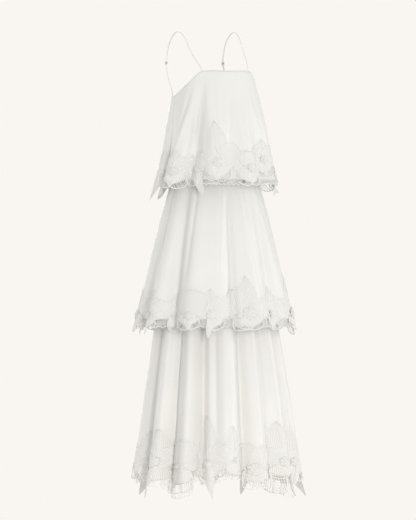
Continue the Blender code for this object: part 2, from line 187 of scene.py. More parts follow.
# Finer creases run from an angle at their top to another at their bottom and fade at both.
OVERLAY_CREASES = (
    Crease(-0.175, -0.44, -54, -84, 3.2, 0.0040),
    Crease(-0.200, -0.46, -48, -65, 2.4, -0.0055),
    Crease(-0.180, -0.40, -62, -82, 2.6, -0.0040),
    Crease(-0.125, -0.50, -36, -33, 7, 0.0060),
    Crease(-0.200, -0.44, -10, -18, 2.2, -0.0022),
    Crease(-0.190, -0.45, 30, 38, 2.2, -0.0028),
    Crease(-0.230, -0.47, 66, 78, 2.4, 0.0040),
    Crease(-0.230, -0.44, 118, 108, 2.4, -0.0040),
    Crease(-0.225, -0.47, 160, 168, 2.2, 0.0035),
    Crease(-0.225, -0.43, 214, 228, 2.4, -0.0040),
)
MID_CREASES = (
    Crease(-0.440, -0.80, -50, -56, 2.2, -0.0045),
    Crease(-0.460, -0.76, -18, -25, 1.8, 0.0022),
    Crease(-0.450, -0.84, 6, 10, 2.0, -0.0035),
    Crease(-0.460, -0.78, 34, 46, 2.0, -0.0030),
    Crease(-0.450, -0.82, 88, 84, 2.2, -0.0040),
    Crease(-0.450, -0.74, 126, 130, 2.0, 0.0030),
    Crease(-0.450, -0.83, 170, 174, 2.2, -0.0040),
    Crease(-0.450, -0.80, 220, 216, 2.2, -0.0035),
)
SKIRT_CREASES = (
    Crease(-0.850, -1.24, -73, -74, 1.6, -0.0035),
    Crease(-0.850, -1.30, -30, -29, 1.6, -0.0040),
    Crease(-0.900, -1.20, -14, -15, 1.4, 0.0025),
    Crease(-0.850, -1.28, 20, 21, 1.6, -0.0035),
    Crease(-0.860, -1.22, 54, 53, 1.8, -0.0035),
    Crease(-0.850, -1.30, 92, 92, 1.8, -0.0040),
    Crease(-0.880, -1.24, 128, 128, 1.6, 0.0030),
    Crease(-0.850, -1.26, 166, 167, 1.8, -0.0040),
    Crease(-0.860, -1.30, 203, 202, 1.8, -0.0035),
    Crease(-0.880, -1.20, 240, 240, 1.6, -0.0030),
)


def petal_of(kind, toward, length, width, ladder=0):
    """A petal that grows from its flower's centre, toward degrees from straight up.

    Toward is positive to the wearer's left, the length and width are in millimetres, and
    ladder is the share of the length that is open ladder work.
    """
    return Petal(kind, toward, length / 1000, width / 1000, ladder)


leaf = partial(petal_of, "leaf")
broad = partial(petal_of, "round")
tip = partial(petal_of, "tip")

# The lace's flowers: where each centre lies, the radius of its raised lip, and its petals
# from the back one to the front one.
OVERLAY_FLOWERS = (
    Flower(-122, -0.440, 0.013, (
        leaf(0, 66, 50), broad(55, 55, 50), broad(-55, 55, 50), tip(-168, 82, 26),
        broad(150, 52, 42, 0.3),
    )),
    Flower(-98, -0.442, 0.013, (
        leaf(2, 72, 50), broad(58, 58, 50), broad(-58, 58, 50), tip(-166, 88, 24), tip(158, 76, 24),
    )),
    Flower(-74, -0.436, 0.014, (
        leaf(-2, 68, 52), broad(58, 58, 52), broad(-58, 58, 52), broad(-152, 54, 44, 0.3),
        broad(155, 56, 46, 0.3),
    )),
    Flower(-50, -0.432, 0.011, (
        broad(30, 50, 46), broad(-50, 55, 50), tip(160, 80, 26), broad(-160, 52, 46, 0.3),
    )),
    Flower(-29, -0.408, 0.015, (
        leaf(-4, 130, 76), broad(-62, 62, 54), broad(62, 88, 72), broad(-150, 60, 50, 0.2),
        broad(152, 62, 56, 0.2),
    )),
    Flower(6, -0.424, 0.015, (
        broad(-72, 56, 50), broad(76, 50, 50), broad(-148, 60, 54, 0.2), broad(150, 58, 54, 0.2),
        broad(0, 52, 74),
    )),
    Flower(29, -0.400, 0.013, (
        leaf(2, 68, 56), broad(-58, 60, 52), broad(58, 60, 54), broad(-150, 52, 48, 0.2),
        broad(150, 54, 48, 0.3),
    )),
    Flower(53, -0.424, 0.014, (
        leaf(0, 75, 54), broad(-58, 58, 52), broad(58, 58, 52), tip(166, 70, 26),
        broad(-150, 50, 44, 0.3),
    )),
    Flower(77, -0.440, 0.014, (
        leaf(0, 90, 56), broad(-58, 60, 54), broad(58, 58, 52), tip(-160, 74, 26),
        broad(155, 64, 50, 0.4),
    )),
    Flower(101, -0.440, 0.014, (
        leaf(-2, 78, 54), broad(-58, 60, 52), broad(60, 60, 52), tip(162, 88, 26),
        broad(-152, 60, 48, 0.4),
    )),
    Flower(126, -0.436, 0.015, (
        leaf(2, 100, 60), broad(-60, 62, 54), broad(58, 60, 54), broad(150, 56, 48, 0.3),
        tip(-168, 82, 26),
    )),
    Flower(152, -0.440, 0.014, (
        leaf(-3, 74, 54), broad(-58, 62, 54), broad(60, 62, 52), tip(165, 86, 26),
        broad(-150, 58, 48, 0.35),
    )),
    Flower(178, -0.436, 0.015, (
        leaf(0, 104, 62), broad(-60, 64, 56), broad(60, 64, 56), tip(-164, 80, 26),
        broad(152, 60, 50, 0.35),
    )),
    Flower(205, -0.440, 0.014, (
        leaf(3, 76, 54), broad(-58, 62, 52), broad(58, 60, 54), tip(160, 88, 26),
        broad(-152, 56, 48, 0.3),
    )),
)
MID_FLOWERS = (
    Flower(-113, -0.880, 0.016, (
        leaf(0, 82, 60), broad(60, 68, 60), broad(-60, 68, 60), broad(-160, 55, 46, 0.3),
        broad(155, 50, 48, 0.3),
    )),
    Flower(-88, -0.884, 0.017, (
        leaf(2, 82, 62), broad(60, 70, 60), broad(-60, 70, 60), broad(-162, 58, 48, 0.35),
        broad(160, 46, 48, 0.2),
    )),
    Flower(-67, -0.884, 0.012, (
        broad(20, 74, 60), broad(-50, 60, 54), broad(165, 48, 50, 0.25),
    )),
    Flower(-50, -0.884, 0.013, (
        broad(-62, 62, 56), broad(-150, 46, 46, 0.3), broad(150, 44, 40, 0.3), broad(10, 82, 90),
    )),
    Flower(-33, -0.881, 0.016, (
        leaf(-2, 82, 48), broad(-60, 56, 48), broad(54, 74, 64), tip(-172, 72, 18),
        broad(150, 50, 50, 0.2),
    )),
    Flower(-10, -0.884, 0.010, (
        broad(-50, 56, 50), broad(165, 46, 50, 0.25), broad(-6, 84, 72),
    )),
    Flower(-3, -0.877, 0.021, (
        leaf(0, 119, 66), broad(-72, 68, 60), broad(64, 70, 62), broad(-155, 52, 50, 0.2),
        broad(155, 52, 50, 0.2),
    )),
    Flower(22, -0.880, 0.016, (
        leaf(3, 88, 58), broad(-60, 70, 60), broad(62, 70, 60), broad(-155, 48, 48, 0.2),
        broad(150, 50, 48, 0.25),
    )),
    Flower(47, -0.880, 0.016, (
        leaf(-2, 80, 58), broad(-60, 70, 62), broad(60, 70, 60), broad(165, 64, 46, 0.4),
        broad(-155, 48, 48, 0.2),
    )),
    Flower(72, -0.877, 0.020, (
        leaf(0, 117, 66), broad(-64, 70, 60), broad(66, 70, 60), broad(-155, 52, 50, 0.2),
        broad(155, 54, 50, 0.2),
    )),
    Flower(97, -0.883, 0.014, (
        broad(-60, 68, 60), broad(60, 70, 60), tip(172, 64, 22), broad(-150, 50, 48, 0.3),
        broad(6, 80, 84),
    )),
    Flower(122, -0.878, 0.019, (
        leaf(-2, 115, 64), broad(-62, 70, 62), broad(60, 68, 60), broad(-155, 50, 50, 0.2),
        broad(158, 60, 48, 0.35),
    )),
    Flower(147, -0.882, 0.016, (
        leaf(2, 84, 58), broad(-60, 70, 60), broad(60, 70, 62), broad(158, 50, 50, 0.2),
        tip(-170, 66, 22),
    )),
    Flower(172, -0.877, 0.020, (
        leaf(0, 118, 66), broad(-66, 70, 60), broad(64, 70, 60), broad(-155, 54, 50, 0.25),
        broad(155, 52, 50, 0.2),
    )),
    Flower(197, -0.883, 0.014, (
        broad(-60, 70, 62), broad(60, 68, 60), broad(-160, 58, 48, 0.35), broad(155, 48, 48, 0.2),
        broad(-6, 80, 84),
    )),
    Flower(222, -0.880, 0.017, (
        leaf(2, 96, 60), broad(-60, 70, 60), broad(62, 70, 60), broad(155, 50, 50, 0.2),
        tip(-168, 64, 22),
    )),
)
SKIRT_FLOWERS = (
    Flower(-120, -1.338, 0.017, (
        leaf(0, 96, 62), broad(60, 70, 64), broad(-60, 70, 64), tip(-160, 72, 28),
        broad(155, 54, 54, 0.3),
    )),
    Flower(-100, -1.340, 0.015, (
        leaf(2, 102, 58), broad(58, 66, 60), broad(-58, 66, 60), broad(-158, 58, 52, 0.3),
        broad(155, 56, 52, 0.3),
    )),
    Flower(-79, -1.335, 0.019, (
        leaf(3, 104, 70), broad(-62, 70, 62), broad(62, 62, 58), broad(166, 78, 60, 0.2),
        tip(-161, 121, 36),
    )),
    Flower(-58, -1.350, 0.012, (
        leaf(-58, 62, 46), broad(-146, 88, 52, 0.55), broad(66, 62, 56), broad(176, 98, 80, 0.42),
        broad(10, 82, 78),
    )),
    Flower(-36, -1.345, 0.015, (
        leaf(-2, 154, 64), broad(-68, 60, 52), broad(52, 86, 78), broad(150, 62, 56, 0.3),
        broad(-150, 66, 50, 0.3), tip(172, 109, 24),
    )),
    Flower(-17, -1.330, 0.010, (
        leaf(-2, 108, 52), broad(-56, 56, 48), broad(56, 56, 50), broad(-160, 58, 52, 0.2),
    )),
    Flower(-1, -1.360, 0.021, (
        broad(-24, 86, 70), broad(32, 82, 62), broad(-164, 62, 54, 0.35), broad(160, 58, 58, 0.3),
    )),
    Flower(25, -1.338, 0.017, (
        leaf(-5, 128, 66), broad(-60, 64, 58), broad(50, 86, 78), broad(-150, 54, 46, 0.2),
        broad(173, 112, 86, 0.62),
    )),
    Flower(52, -1.340, 0.017, (
        leaf(2, 112, 64), broad(-58, 70, 62), broad(58, 70, 62), broad(158, 62, 54, 0.3),
        tip(-168, 74, 26),
    )),
    Flower(77, -1.338, 0.019, (
        leaf(0, 130, 68), broad(-60, 70, 62), broad(60, 68, 62), broad(160, 70, 58, 0.3),
        tip(-163, 116, 34),
    )),
    Flower(102, -1.348, 0.014, (
        broad(-60, 66, 60), broad(60, 66, 60), broad(-150, 70, 52, 0.5), broad(172, 96, 80, 0.42),
        broad(-6, 84, 80),
    )),
    Flower(127, -1.342, 0.016, (
        leaf(0, 144, 64), broad(-60, 64, 56), broad(56, 80, 70), broad(-152, 58, 50, 0.3),
        tip(166, 108, 26),
    )),
    Flower(152, -1.340, 0.017, (
        leaf(-3, 104, 62), broad(-58, 70, 62), broad(60, 68, 60), broad(-155, 56, 52, 0.3),
        broad(160, 80, 62, 0.45),
    )),
    Flower(177, -1.345, 0.018, (
        leaf(2, 134, 66), broad(-62, 68, 60), broad(62, 70, 62), broad(160, 60, 52, 0.3),
        broad(-174, 100, 82, 0.5),
    )),
    Flower(202, -1.338, 0.017, (
        leaf(0, 106, 64), broad(-58, 68, 60), broad(58, 70, 62), broad(-156, 60, 52, 0.3),
        tip(164, 110, 30),
    )),
    Flower(224, -1.345, 0.016, (
        leaf(-2, 128, 66), broad(-60, 66, 58), broad(60, 66, 60), broad(-154, 64, 52, 0.4),
        broad(158, 60, 52, 0.3),
    )),
)
UPPER_EDGE = (
    Edge(0, -0.1235),
    Edge(38, -0.1235),
    Edge(46, -0.1250),
    Edge(53, -0.1345),
    Edge(60, -0.1460),
    Edge(75, -0.1730),
    Edge(90, -0.1960),
    Edge(115, -0.2050),
    Edge(180, -0.2060),
)
STRAP_ROUTE = (
    Stop(0.0965, -0.080, -0.088, 22),
    Stop(0.1005, -0.055, -0.055, 12),
    Stop(0.1050, -0.023, -0.010, 4),
    Stop(SHOULDER_HALF, 0.000, 0.000, 0),
    Stop(0.1067, 0.029, -0.014, -3),
    Stop(0.1070, 0.050, -0.043, -8),
    Stop(0.1073, 0.060, -0.076, -12),
    Stop(0.1078, 0.062, -0.097, -16),
    Stop(0.1110, 0.047, -0.143, -28),
)
LAP_STOPS = 2
SLIDER_STOP = LAP_STOPS + 7
STRAP_FRONT_ANGLE = 45
STRAP_BACK_ANGLE = 128

# ---- the cloth's form


def smooth_between(xs, values, x):
    """A smooth curve through values at xs, read at x, running on straight past both ends."""
    xs = np.asarray(xs, float)
    values = np.asarray(values, float)
    slopes = np.gradient(values, xs)
    i = np.clip(np.searchsorted(xs, x) - 1, 0, len(xs) - 2)
    span = xs[i + 1] - xs[i]
    t = (x - xs[i]) / span
    u = np.clip(t, 0, 1)
    start = values[i] * (2 * u**3 - 3 * u**2 + 1) + values[i + 1] * (3 * u**2 - 2 * u**3)
    turn = slopes[i] * (u**3 - 2 * u**2 + u) + slopes[i + 1] * (u**3 - u**2)
    run_on = (t - u) * np.where(t < 0, slopes[i], slopes[i + 1])
    return start + (turn + run_on) * span


def ring_value(tier, column, z):
    """One of the tier's ring measures, read at height z."""
    drops = [-ring.z for ring in tier.rings]
    return smooth_between(drops, [getattr(ring, column) for ring in tier.rings], -z)


def turn_from(angle, middle):
    """The angle from middle, the short way round."""
    return (angle - middle + 180) % 360 - 180


def upper_edge(angle):
    sides = [edge.at for edge in UPPER_EDGE]
    return smooth_between(sides, [edge.z for edge in UPPER_EDGE], np.abs(turn_from(angle, 0)))


def waist(angle):
    return np.full(np.shape(angle), WAIST_Z)


# A tier's lace starts at cut, its plain cloth ends at ground and its net at web.
OVERLAY = Tier(
    "overlay", OVERLAY_RINGS, OVERLAY_FOLDS, OVERLAY_CREASES, OVERLAY_FLOWERS, upper_edge,
    cut=-0.425, ground=-0.462, web=-0.478, seed=3,
)
MID = Tier(
    "mid_tier", MID_RINGS, MID_FOLDS, MID_CREASES, MID_FLOWERS, waist,
    cut=-0.838, ground=-0.895, web=-0.920, seed=5,
)
SKIRT = Tier(
    "skirt", SKIRT_RINGS, SKIRT_FOLDS, SKIRT_CREASES, SKIRT_FLOWERS, waist,
    cut=-1.300, ground=-1.362, web=-1.390, seed=8,
)
BODICE = Tier("bodice", BODICE_RINGS, (), (), (), upper_edge, WAIST_Z, WAIST_Z, WAIST_Z, seed=1)


def drop_share(tier, angle, z):
    """How far down the tier z lies, from 0 at its top to 1 at its web."""
    top = tier.top(angle)
    return (top - z) / (top - tier.web)


def fold_out(tier, angle, z):
    """How far the folds push the cloth out from its ring."""
    share = drop_share(tier, angle, z)
    out = 0
    for fold in tier.folds:
        grown = np.clip((share - fold.start) / (1 - fold.start), 0, 1.3) ** FOLD_GROWTH
        middle = fold.at + fold.lean * (1 - share)
        across = turn_from(angle, middle) / fold.half_width
        skewed = across / (1 + FOLD_SKEW * np.sign(fold.depth) * np.tanh(across))
        out = out + fold.depth * grown * np.exp(-(skewed**2))
    return out


def ripple_out(tier, angle, z):
    """Small uneven ripples between the folds, which run down the cloth and fade upwards."""
    share = np.clip(drop_share(tier, angle, z), 0, 1.2)
    turn = np.radians(angle)
    rng = np.random.default_rng(tier.seed)
    out = 0
    for times, depth in RIPPLES:
        phase, drift, swell, swell_phase = rng.uniform(0, 2 * pi, 4)
        wave = np.sin(times * turn + phase + (drift - pi) * 0.5 * share)
        out = out + depth * wave * (0.6 + 0.4 * np.sin((2 + swell) * 3 * z + swell_phase))
    return out * share**0.8 if tier.folds else 0 * share


def crease_out(tier, angle, z):
    """How far the finer creases push the cloth in or out."""
    out = 0 * angle
    for crease in tier.creases:
        share = np.clip((crease.top - z) / (crease.top - crease.bottom), 0, 1)
        across = turn_from(angle, crease.top_at + (crease.at - crease.top_at) * share)
        faded = np.sin(pi * share) ** 0.7
        out = out + crease.depth * faded * np.exp(-((across / crease.half_width) ** 2))
    return out


def cloth_point(tier, angle, z, lift=0.0):
    """Points of the tier's surface at angles and heights, moved out by lift."""
    angle = np.asarray(angle, float)
    z = np.asarray(z, float)
    turn = np.radians(angle)
    wide = ring_value(tier, "half_width", z)
    depth = np.where(
        np.cos(turn) > 0, ring_value(tier, "front", z), ring_value(tier, "back", z)
    )
    out_x = np.sin(turn) / wide
    out_y = -np.cos(turn) / depth
    length = np.hypot(out_x, out_y)
    out = fold_out(tier, angle, z) + ripple_out(tier, angle, z) + crease_out(tier, angle, z)
    out = out + lift
    x = wide * np.sin(turn) + out * out_x / length
    y = ring_value(tier, "centre_y", z) - depth * np.cos(turn) + out * out_y / length
    return np.stack([x, y, z + 0 * x], axis=-1)


def unit(vector):
    return vector / np.maximum(np.linalg.norm(vector, axis=-1, keepdims=True), 1e-12)


def cloth_frame(tier, angle, z):
    """Points of the surface and its outward directions there."""
    here = cloth_point(tier, angle, z)
    round_it = cloth_point(tier, angle + 0.15, z) - here
    down_it = cloth_point(tier, angle, z - 0.0006) - here
    return here, unit(np.cross(down_it, round_it))


def metres_per_degree(tier, angle, z):
    """How much of the tier's girth one degree takes up there."""
    wide = float(ring_value(tier, "half_width", np.array(z)))
    deep = float(ring_value(tier, "front" if cos(radians(angle)) > 0 else "back", np.array(z)))
    turn = radians(angle)
    return radians(1) * np.hypot(wide * cos(turn), deep * sin(turn))


# ---- petal outlines

# Each kind of petal's outline is v to one power times 1 - v to another, from base to end.
PETAL_POWERS = {"leaf": (0.55, 0.80), "round": (0.50, 0.36), "tip": (0.42, 0.85)}


def half_width_at(kind, along):
    """A petal's half width, as a share of its greatest, from its base 0 to its end 1."""
    rise, fall = PETAL_POWERS[kind]
    along = np.clip(along, 0, 1)
    widest = rise / (rise + fall)
    greatest = widest**rise * (1 - widest) ** fall
    return along**rise * (1 - along) ** fall / greatest


def flower_scale(tier, flower):
    return metres_per_degree(tier, flower.at, flower.z)


def laid(tier, flower, petal, along, side):
    """The angle and height of a petal's point: along 0 to 1 and side -1 to 1."""
    half = half_width_at(petal.kind, along) * petal.width / 2
    turn = radians(petal.toward)
    x = along * petal.length * sin(turn) + side * half * cos(turn)
    z = along * petal.length * cos(turn) - side * half * sin(turn)
    return flower.at + x / flower_scale(tier, flower), flower.z + z


def outline_shares(points):
    """Along and side values up one side of a petal and down the other."""
    ease = (1 - np.cos(np.linspace(0, pi, points))) / 2
    along = np.concatenate([ease, ease[::-1][1:]])
    side = np.concatenate([-np.ones(points), np.ones(points - 1)])
    return along, side


def cut_edge(tier, angle):
    """The lace's upper edge, which rises over its petals."""
    z = np.full(np.shape(angle), tier.cut)
    along, side = outline_shares(24)
    for flower in tier.flowers:
        for petal in flower.petals:
            at, height = laid(tier, flower, petal, along, side)
            at = turn_from(at, flower.at)
            here = turn_from(angle, flower.at)[..., None]
            width = np.where(np.abs(np.diff(at)) < 1e-9, 1e-9, np.diff(at))
            share = (here - at[:-1]) / width
            crossed = height[:-1] + share * np.diff(height)
            crossed = np.where((share >= 0) & (share <= 1), crossed, -9)
            z = np.maximum(z, crossed.max(-1))
    return z


def inside_petals(tier, angle, z, margin):
    """True where a point lies inside any petal, by more than margin."""
    found = np.zeros(np.shape(angle), bool)
    for flower in tier.flowers:
        x = turn_from(angle, flower.at) * flower_scale(tier, flower)
        up = z - flower.z
        for petal in flower.petals:
            turn = radians(petal.toward)
            along = (x * sin(turn) + up * cos(turn)) / petal.length
            across = x * cos(turn) - up * sin(turn)
            half = half_width_at(petal.kind, along) * petal.width / 2 - margin
            found |= (along > 0) & (along < 1) & (np.abs(across) < half)
    return found


# ---- making meshes


class Pile:
    """Vertices and faces gathered from many small shapes for one mesh."""

    def __init__(self):
        self.points = []
        self.stitch_and_shade = []
        self.faces = []
        self.count = 0

    def add(self, points, faces, stitch_and_shade=1.0):
        points = np.asarray(points).reshape(-1, 3)
        self.points.append(points)
        self.stitch_and_shade.append(np.broadcast_to(stitch_and_shade, len(points)))
        for face in faces:
            self.faces.append(np.asarray(face) + self.count)
        self.count += len(points)

    def make(self, name, finish):
        mesh = bpy.data.meshes.new(name)
        faces = [row for block in self.faces for row in block.tolist()]
        mesh.from_pydata(np.concatenate(self.points).tolist(), [], faces)
        # Each point's stitch value sets how much of the lace's darker ground colour it takes:
        # partly see-through ground, partly painted shade.
        stitch_and_shade = mesh.attributes.new("stitch_and_shade", "FLOAT", "POINT")
        stitch_and_shade.data.foreach_set("value", np.concatenate(self.stitch_and_shade).astype(np.float32))
        mesh.materials.append(finish)
        mesh.shade_smooth()
        obj = bpy.data.objects.new(name, mesh)
        scene.collection.objects.link(obj)
        return obj


def grid_quads(rows, columns, flip=False):
    corner = (np.arange(rows - 1)[:, None] * columns + np.arange(columns - 1)).reshape(-1)
    quads = np.stack([corner, corner + columns, corner + columns + 1, corner + 1], -1)
    return quads[:, ::-1] if flip else quads


def add_slab(pile, front, back, stitch_and_shade=1.0):
    """A closed thin body between two like grids of points."""
    rows, columns = front.shape[:2]
    count = rows * columns
    index = np.arange(count).reshape(rows, columns)
    rim = np.concatenate([index[0, :-1], index[:-1, -1], index[-1, :0:-1], index[:0:-1, 0]])
    after = np.roll(rim, -1)
    walls = np.stack([rim, after, after + count, rim + count], -1)
    faces = [grid_quads(rows, columns), grid_quads(rows, columns, True) + count, walls]
    stitch_and_shade = np.tile(np.broadcast_to(stitch_and_shade, (rows, columns)).reshape(-1), 2)
    pile.add(np.concatenate([front.reshape(-1, 3), back.reshape(-1, 3)]), faces, stitch_and_shade)


def add_cords(pile, points, normals, size, sides=6):
    """Rounded threads along rows of points, shape (threads, points, 3), with closed ends."""
    width, height = size
    tangent = unit(np.gradient(points, axis=1))
    across = unit(np.cross(tangent, normals))
    upward = np.cross(across, tangent)
    turn = np.arange(sides) * 2 * pi / sides + pi / sides
    rings = (
        points[:, :, None]
        + across[:, :, None] * np.cos(turn)[:, None] * width / 2
        + upward[:, :, None] * np.sin(turn)[:, None] * height / 2
    )
    threads, length = points.shape[:2]
    start = np.arange(threads)[:, None, None] * length * sides
    ring = np.arange(length - 1)[None, :, None] * sides
    side = np.arange(sides)[None, None, :]
    after = (side + 1) % sides
    a = start + ring + side
    b = start + ring + after
    quads = np.stack([a, b, b + sides, a + sides], -1).reshape(-1, 4)
    first = (start + side).reshape(threads, sides)
    last = first + (length - 1) * sides
    pile.add(rings, [quads, first[:, ::-1], last])


def ride(obj, slot, *nodes):
    """Make a piece ride on the dress and stand for its CAD nodes. The slot is not used."""
    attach(obj, "root")
    if nodes:
        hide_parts(*nodes)
    return obj


# ---- materials


def new_material(name):
    made = bpy.data.materials.new(name)
    made.use_nodes = True
    tree = made.node_tree
    return made, tree, tree.nodes["Principled BSDF"]


def set_inputs(node, **values):
    for key, value in values.items():
        node.inputs[key.replace("_", " ")].default_value = value


def add_node(tree, kind, **values):
    """A new node, whose values are its own settings or the inputs of those names."""
    node = tree.nodes.new(kind)
    for key, value in values.items():
        if hasattr(node, key):
            setattr(node, key, value)
        else:
            set_inputs(node, **{key: value})
    return node


def cloth_material(name, color, shade, roughness, sheen, thread, bump, sheer_and_shade=None):
    """Woven cloth: a fine crossed thread bump, a crepe grain, and slight changes of tone.

    Where the mesh's stitch attribute is 0, the cloth takes the darker ground colour: partly the
    see-through ground between stitches, partly painted shade in the grooves between ribs.
    """
    made, tree, shader = new_material(name)
    link = tree.links.new
    place = add_node(tree, "ShaderNodeTexCoord")
    warp = add_node(tree, "ShaderNodeTexWave", wave_type="BANDS", bands_direction="Z")
    weft = add_node(tree, "ShaderNodeTexWave", wave_type="BANDS", bands_direction="DIAGONAL")
    for wave in (warp, weft):
        set_inputs(wave, Scale=thread, Distortion=1.5, Detail=2)
        link(place.outputs["Object"], wave.inputs["Vector"])
    grain = add_node(tree, "ShaderNodeTexNoise", Scale=900, Detail=3, Roughness=0.6)
    tone = add_node(tree, "ShaderNodeTexNoise", Scale=9, Detail=3, Roughness=0.5)
    link(place.outputs["Object"], grain.inputs["Vector"])
    link(place.outputs["Object"], tone.inputs["Vector"])
    weave = add_node(tree, "ShaderNodeMath", operation="MAXIMUM")
    link(warp.outputs["Fac"], weave.inputs[0])
    link(weft.outputs["Fac"], weave.inputs[1])
    height = add_node(tree, "ShaderNodeMath", operation="ADD")
    link(weave.outputs[0], height.inputs[0])
    link(grain.outputs["Fac"], height.inputs[1])
    relief = add_node(tree, "ShaderNodeBump", Strength=bump, Distance=0.0002)
    link(height.outputs[0], relief.inputs["Height"])
    link(relief.outputs["Normal"], shader.inputs["Normal"])
    ramp = add_node(tree, "ShaderNodeValToRGB")
    ramp.color_ramp.elements[0].position = 0.3
    ramp.color_ramp.elements[0].color = (*shade, 1)
    ramp.color_ramp.elements[1].position = 0.7
    ramp.color_ramp.elements[1].color = (*color, 1)
    link(tone.outputs["Fac"], ramp.inputs["Fac"])
    # The darker ground colour, mixed in where the stitch attribute is low, is partly the
    # see-through ground and partly painted shade in rib grooves and lips.
    if sheer_and_shade:
        stitch_and_shade = add_node(tree, "ShaderNodeAttribute", attribute_name="stitch_and_shade")
        mix = add_node(tree, "ShaderNodeMix", data_type="RGBA")
        mix.inputs[6].default_value = (*sheer_and_shade, 1)
        link(stitch_and_shade.outputs["Fac"], mix.inputs[0])
        link(ramp.outputs["Color"], mix.inputs[7])
        link(mix.outputs[2], shader.inputs["Base Color"])
    else:
        link(ramp.outputs["Color"], shader.inputs["Base Color"])
    set_inputs(shader, Roughness=roughness, Specular_IOR_Level=0.4)
    set_inputs(shader, Sheen_Weight=sheen, Sheen_Roughness=0.4)
    return made


def metal_material(name, color):
    made, tree, shader = new_material(name)
    scratch = add_node(tree, "ShaderNodeTexNoise", Scale=1400, Detail=2)
    place = add_node(tree, "ShaderNodeTexCoord")
    tree.links.new(place.outputs["Object"], scratch.inputs["Vector"])
    spread = add_node(tree, "ShaderNodeMapRange", To_Min=0.22, To_Max=0.42)
    tree.links.new(scratch.outputs["Fac"], spread.inputs["Value"])
    tree.links.new(spread.outputs["Result"], shader.inputs["Roughness"])
    set_inputs(shader, Base_Color=(*color, 1), Metallic=1)
    return made


CREPE = cloth_material(
    "crepe", (0.785, 0.778, 0.755), (0.760, 0.753, 0.730),
    roughness=0.46, sheen=0.25, thread=1300, bump=0.25,
)
LACE = cloth_material(
    "lace_thread", (0.845, 0.840, 0.820), (0.825, 0.820, 0.800),
    roughness=0.6, sheen=0.3, thread=1800, bump=0.35, sheer_and_shade=(0.66, 0.65, 0.63),
)
SATIN = cloth_material(
    "strap_satin", (0.78, 0.765, 0.74), (0.74, 0.725, 0.70),
    roughness=0.38, sheen=0.2, thread=2200, bump=0.2,
)
METAL = metal_material("dark_metal", (0.13, 0.12, 0.11))

# ---- cloth panels

SEAM_PUCKER = 0.0010
SEAM_REACH = 0.0022
SEAM_SCALE = 0.004  # metres a degree
FACING_DEPTH = 0.043
FACING_STEP = 0.0008
FACING_BLUR = 0.0015
FACING_ENDS = 62
FACING_FADE = 12


def seam_dip(angle):
    """How far the cloth turns in beside the side seams."""
    from_seam = np.minimum(np.abs(turn_from(angle, 90)), np.abs(turn_from(angle, -90)))
    return -SEAM_PUCKER * np.exp(-((from_seam * SEAM_SCALE / SEAM_REACH) ** 2))


def facing_step(tier, angle, z):
    """The facing under the front neckline stands the cloth off a little above its edge."""
    below = (upper_edge(angle) - z - FACING_DEPTH) / FACING_BLUR
    share = 1 / (1 + np.exp(np.clip(below, -30, 30)))
    centred = np.clip((FACING_ENDS - np.abs(turn_from(angle, 0))) / FACING_FADE, 0, 1)
    return FACING_STEP * share * centred if tier is OVERLAY else 0 * share


def panel(tier, side, columns, rows):
    """A front or back panel as a thin shell, down to where it grounds the lace."""
    middle = 0 if side == "front" else 180
    angles = np.linspace(middle - 90, middle + 90, columns + 1)
    share = np.linspace(0, 1, rows + 1)[:, None]
    heights = tier.top(angles) + (tier.ground - tier.top(angles)) * share
    angles = angles + 0 * heights
    here, outward = cloth_frame(tier, angles, heights)
    lift = seam_dip(angles) + facing_step(tier, angles, heights)
    pile = Pile()
    pile.add(here + outward * lift[..., None], [grid_quads(*heights.shape)])
    obj = pile.make(f"{tier.name}_{side}_cloth", CREPE)
    shell = obj.modifiers.new("shell", "SOLIDIFY")
    shell.thickness = CLOTH_THICK
    shell.offset = 0
    return ride(obj, "crepe", f"{tier.name}_{side}")


# ---- cutwork lace

# The threads' sizes are their width and their height above the cloth.
RIM = (0.0028, 0.0018)
INNER_RIM = (0.0016, 0.0013)
VEIN = (0.0020, 0.0016)
EDGE_CORD = (0.0025, 0.0018)
NET_THREAD = (0.0015, 0.0009)
BAR = (0.0024, 0.0011)
EDGE_ROLL = (0.0024, 0.0022)
SLIT = 0.0014
BAR_PITCH = 0.0060
PETAL_DOME = 0.0008
BODY_THICK = 0.0004
RIB_PITCH = 0.0076
RIB_HEIGHT = 0.0005
LAYER = 0.0005
LIP_STITCH_AND_SHADE = 0.55  # a lip's share of thread colour against the darker ground colour, which is partly painted shade
LIP_THICK = 0.0005
LIP_TIERS = (LipTier(0.86, 6, 0.0020), LipTier(0.52, 5, 0.0034))
KNOT_SHARE = 0.22
NET_PITCH = 0.0038
NET_STEP = 0.0050
NET_SLANT = 0.8
NET_DROP = 0.16
SCALLOPS = 40
SCALLOP_DEPTH = 0.004


def free_curl(tier, flower, z):
    """How far the part of a flower below the web curls out or in."""
    below = np.clip((tier.web - z) / 0.05, 0, 2)
    return below**1.6 * (0.003 + 0.005 * sin(flower.at * 1.7 + tier.seed))


def petal_points(tier, flower, petal, along, side, lift):
    """Points on a petal, domed and lifted off the cloth, and the outward directions there."""
    angle, z = laid(tier, flower, petal, along, side)
    here, outward = cloth_frame(tier, angle, z)
    domed = PETAL_DOME * np.sin(pi * along) * (1 - side**2)
    lift = lift + domed + free_curl(tier, flower, z)
    return here + outward * lift[..., None], outward


def add_rim(pile, tier, flower, petal, lift, size):
    along, side = outline_shares(20)
    points, outward = petal_points(tier, flower, petal, along, side, lift)
    add_cords(pile, points[None], outward[None], size)


